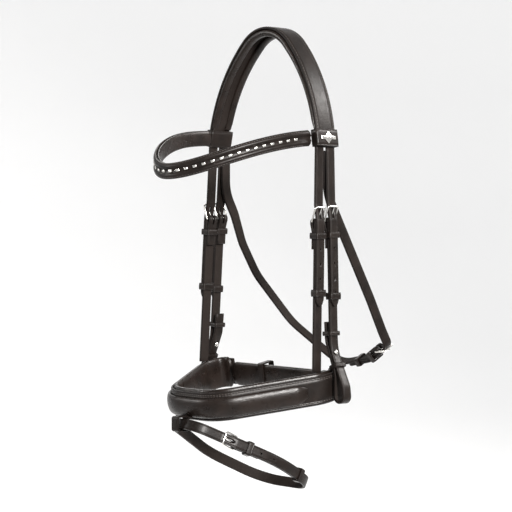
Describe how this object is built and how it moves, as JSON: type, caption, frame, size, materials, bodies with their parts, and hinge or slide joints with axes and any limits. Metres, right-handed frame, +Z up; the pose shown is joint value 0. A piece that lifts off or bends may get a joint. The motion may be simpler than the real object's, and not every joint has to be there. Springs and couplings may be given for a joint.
{
  "type": "snaffle bridle",
  "caption": "Leather snaffle bridle with padded headpiece, clincher browband, padded cavesson noseband, flash strap, throatlatch and loops for the bit.",
  "frame": {"origin": "underside of the headpiece padding, at the top of the poll", "axes": "+Z up, -Y the way the horse faces, +X the near (left) side"},
  "size_m": [0.2728, 0.3068, 0.5773],
  "materials": {
    "black_leather": "waxed, low sheen",
    "padding_leather": "soft, slightly glossy",
    "nickel_plate": "polished nickel plate"
  },
  "bodies": {
    "headpiece": {"headpiece_crown": "black_leather", "headpiece_padding": "padding_leather", "noseband_headstrap": "black_leather", "browband_near_loop": "black_leather", "browband_far_loop": "black_leather", "browband_end_plate": "nickel_plate", "hanger_near_strap": "black_leather", "hanger_near_buckle": "nickel_plate", "hanger_near_fixed_keeper": "black_leather", "hanger_far_strap": "black_leather", "hanger_far_buckle": "nickel_plate", "hanger_far_fixed_keeper": "black_leather"},
    "cheek_near": {"cheek_near_billet": "black_leather", "cheek_near_piece": "black_leather", "cheek_near_buckle": "nickel_plate", "cheek_near_fixed_keeper": "black_leather", "cheek_near_bit_keeper_upper": "black_leather", "cheek_near_bit_keeper_lower": "black_leather", "cheek_near_hook_stud": "nickel_plate"},
    "cheek_far": {"cheek_far_billet": "black_leather", "cheek_far_piece": "black_leather", "cheek_far_buckle": "nickel_plate", "cheek_far_fixed_keeper": "black_leather", "cheek_far_bit_keeper_upper": "black_leather", "cheek_far_bit_keeper_lower": "black_leather", "cheek_far_hook_stud": "nickel_plate"},
    "browband": {"browband_strap": "black_leather", "browband_padding": "padding_leather", "browband_clinchers": "nickel_plate"},
    "throatlatch": {"throatlatch_strap": "black_leather", "throatlatch_near_billet": "black_leather", "throatlatch_buckle": "nickel_plate", "throatlatch_fixed_keeper": "black_leather"},
    "noseband": {"noseband_band": "black_leather", "noseband_padding": "padding_leather", "noseband_roll": "padding_leather", "chin_buckle_tab": "black_leather", "chin_billet": "black_leather", "chin_buckle": "nickel_plate", "chin_keeper": "black_leather", "jaw_pad": "padding_leather", "jaw_pad_keeper": "black_leather", "flash_loop": "black_leather"},
    "flash": {"flash_strap": "black_leather", "flash_buckle": "nickel_plate", "flash_fixed_keeper": "black_leather"},
    "hanger_near_tongue": {"hanger_near_tongue": "nickel_plate"},
    "hanger_far_tongue": {"hanger_far_tongue": "nickel_plate"},
    "cheek_near_tongue": {"cheek_near_tongue": "nickel_plate"},
    "cheek_far_tongue": {"cheek_far_tongue": "nickel_plate"},
    "chin_tongue": {"chin_tongue": "nickel_plate"},
    "flash_tongue": {"flash_tongue": "nickel_plate"},
    "throatlatch_tongue": {"throatlatch_tongue": "nickel_plate"},
    "hanger_near_runner": {"hanger_near_runner": "black_leather"},
    "hanger_far_runner": {"hanger_far_runner": "black_leather"},
    "cheek_near_runner": {"cheek_near_runner": "black_leather"},
    "cheek_far_runner": {"cheek_far_runner": "black_leather"},
    "flash_runner": {"flash_runner": "black_leather"},
    "throatlatch_runner": {"throatlatch_runner": "black_leather"}
  },
  "joints": [
    {"name": "cheek_near_swing", "type": "hinge", "parent": "headpiece", "child": "cheek_near", "pos_m": [0.0983, 0.0029, -0.139], "axis": [0, -1, 0], "range_deg": [0, 30]},
    {"name": "cheek_far_swing", "type": "hinge", "parent": "headpiece", "child": "cheek_far", "pos_m": [-0.0983, 0.0029, -0.139], "axis": [0, 1, 0], "range_deg": [0, 30]},
    {"name": "browband_tilt", "type": "hinge", "parent": "headpiece", "child": "browband", "pos_m": [0, -0.024, -0.127], "axis": [1, 0, 0], "range_deg": [-15, 10]},
    {"name": "throatlatch_swing", "type": "hinge", "parent": "headpiece", "child": "throatlatch", "pos_m": [0, 0.003, -0.142], "axis": [1, 0, 0], "range_deg": [0, 25]},
    {"name": "noseband_tilt", "type": "hinge", "parent": "headpiece", "child": "noseband", "pos_m": [0, -0.0249, -0.414], "axis": [1, 0, 0], "range_deg": [-12, 2.5]},
    {"name": "flash_swing", "type": "hinge", "parent": "noseband", "child": "flash", "pos_m": [0, -0.15248, -0.47187], "axis": [1, 0, 0], "range_deg": [-60, 14]},
    {"name": "hanger_near_tongue_pivot", "type": "hinge", "parent": "headpiece", "child": "hanger_near_tongue", "pos_m": [0.097, -0.01799, -0.22855], "axis": [0, 0.9993, -0.0384], "range_deg": [0, 7]},
    {"name": "hanger_far_tongue_pivot", "type": "hinge", "parent": "headpiece", "child": "hanger_far_tongue", "pos_m": [-0.097, -0.01799, -0.22855], "axis": [0, -0.9993, 0.0384], "range_deg": [0, 7]},
    {"name": "cheek_near_tongue_pivot", "type": "hinge", "parent": "cheek_near", "child": "cheek_near_tongue", "pos_m": [0.09959, 0.00113, -0.22771], "axis": [0, 0.9998, -0.0201], "range_deg": [0, 7]},
    {"name": "cheek_far_tongue_pivot", "type": "hinge", "parent": "cheek_far", "child": "cheek_far_tongue", "pos_m": [-0.09959, 0.00113, -0.22771], "axis": [0, -0.9998, 0.0201], "range_deg": [0, 7]},
    {"name": "chin_tongue_pivot", "type": "hinge", "parent": "noseband", "child": "chin_tongue", "pos_m": [0.053, 0.01629, -0.42426], "axis": [0, 0.1719, -0.9851], "range_deg": [0, 7]},
    {"name": "flash_tongue_pivot", "type": "hinge", "parent": "flash", "child": "flash_tongue", "pos_m": [0.04448, -0.10296, -0.49645], "axis": [0, 0.4446, 0.8957], "range_deg": [0, 7]},
    {"name": "throatlatch_tongue_pivot", "type": "hinge", "parent": "throatlatch", "child": "throatlatch_tongue", "pos_m": [0.0751, 0.11043, -0.39041], "axis": [0, 0.8763, 0.4818], "range_deg": [0, 7]},
    {"name": "hanger_near_runner_slide", "type": "slide", "parent": "headpiece", "child": "hanger_near_runner", "axis": [-0.0253, 0.0384, 0.9989], "range_m": [-0.008, 0.044]},
    {"name": "hanger_far_runner_slide", "type": "slide", "parent": "headpiece", "child": "hanger_far_runner", "axis": [0.0253, 0.0384, 0.9989], "range_m": [-0.008, 0.044]},
    {"name": "cheek_near_runner_slide", "type": "slide", "parent": "cheek_near", "child": "cheek_near_runner", "axis": [-0.0478, 0.02, 0.9987], "range_m": [-0.006, 0.046]},
    {"name": "cheek_far_runner_slide", "type": "slide", "parent": "cheek_far", "child": "cheek_far_runner", "axis": [0.0478, 0.02, 0.9987], "range_m": [-0.006, 0.046]},
    {"name": "flash_runner_slide", "type": "slide", "parent": "flash", "child": "flash_runner", "axis": [0.2157, -0.8746, 0.4342], "range_m": [-0.004, 0.012]},
    {"name": "throatlatch_runner_slide", "type": "slide", "parent": "throatlatch", "child": "throatlatch_runner", "axis": [0.9763, -0.1043, 0.1898], "range_m": [-0.012, 0.01]}
  ]
}
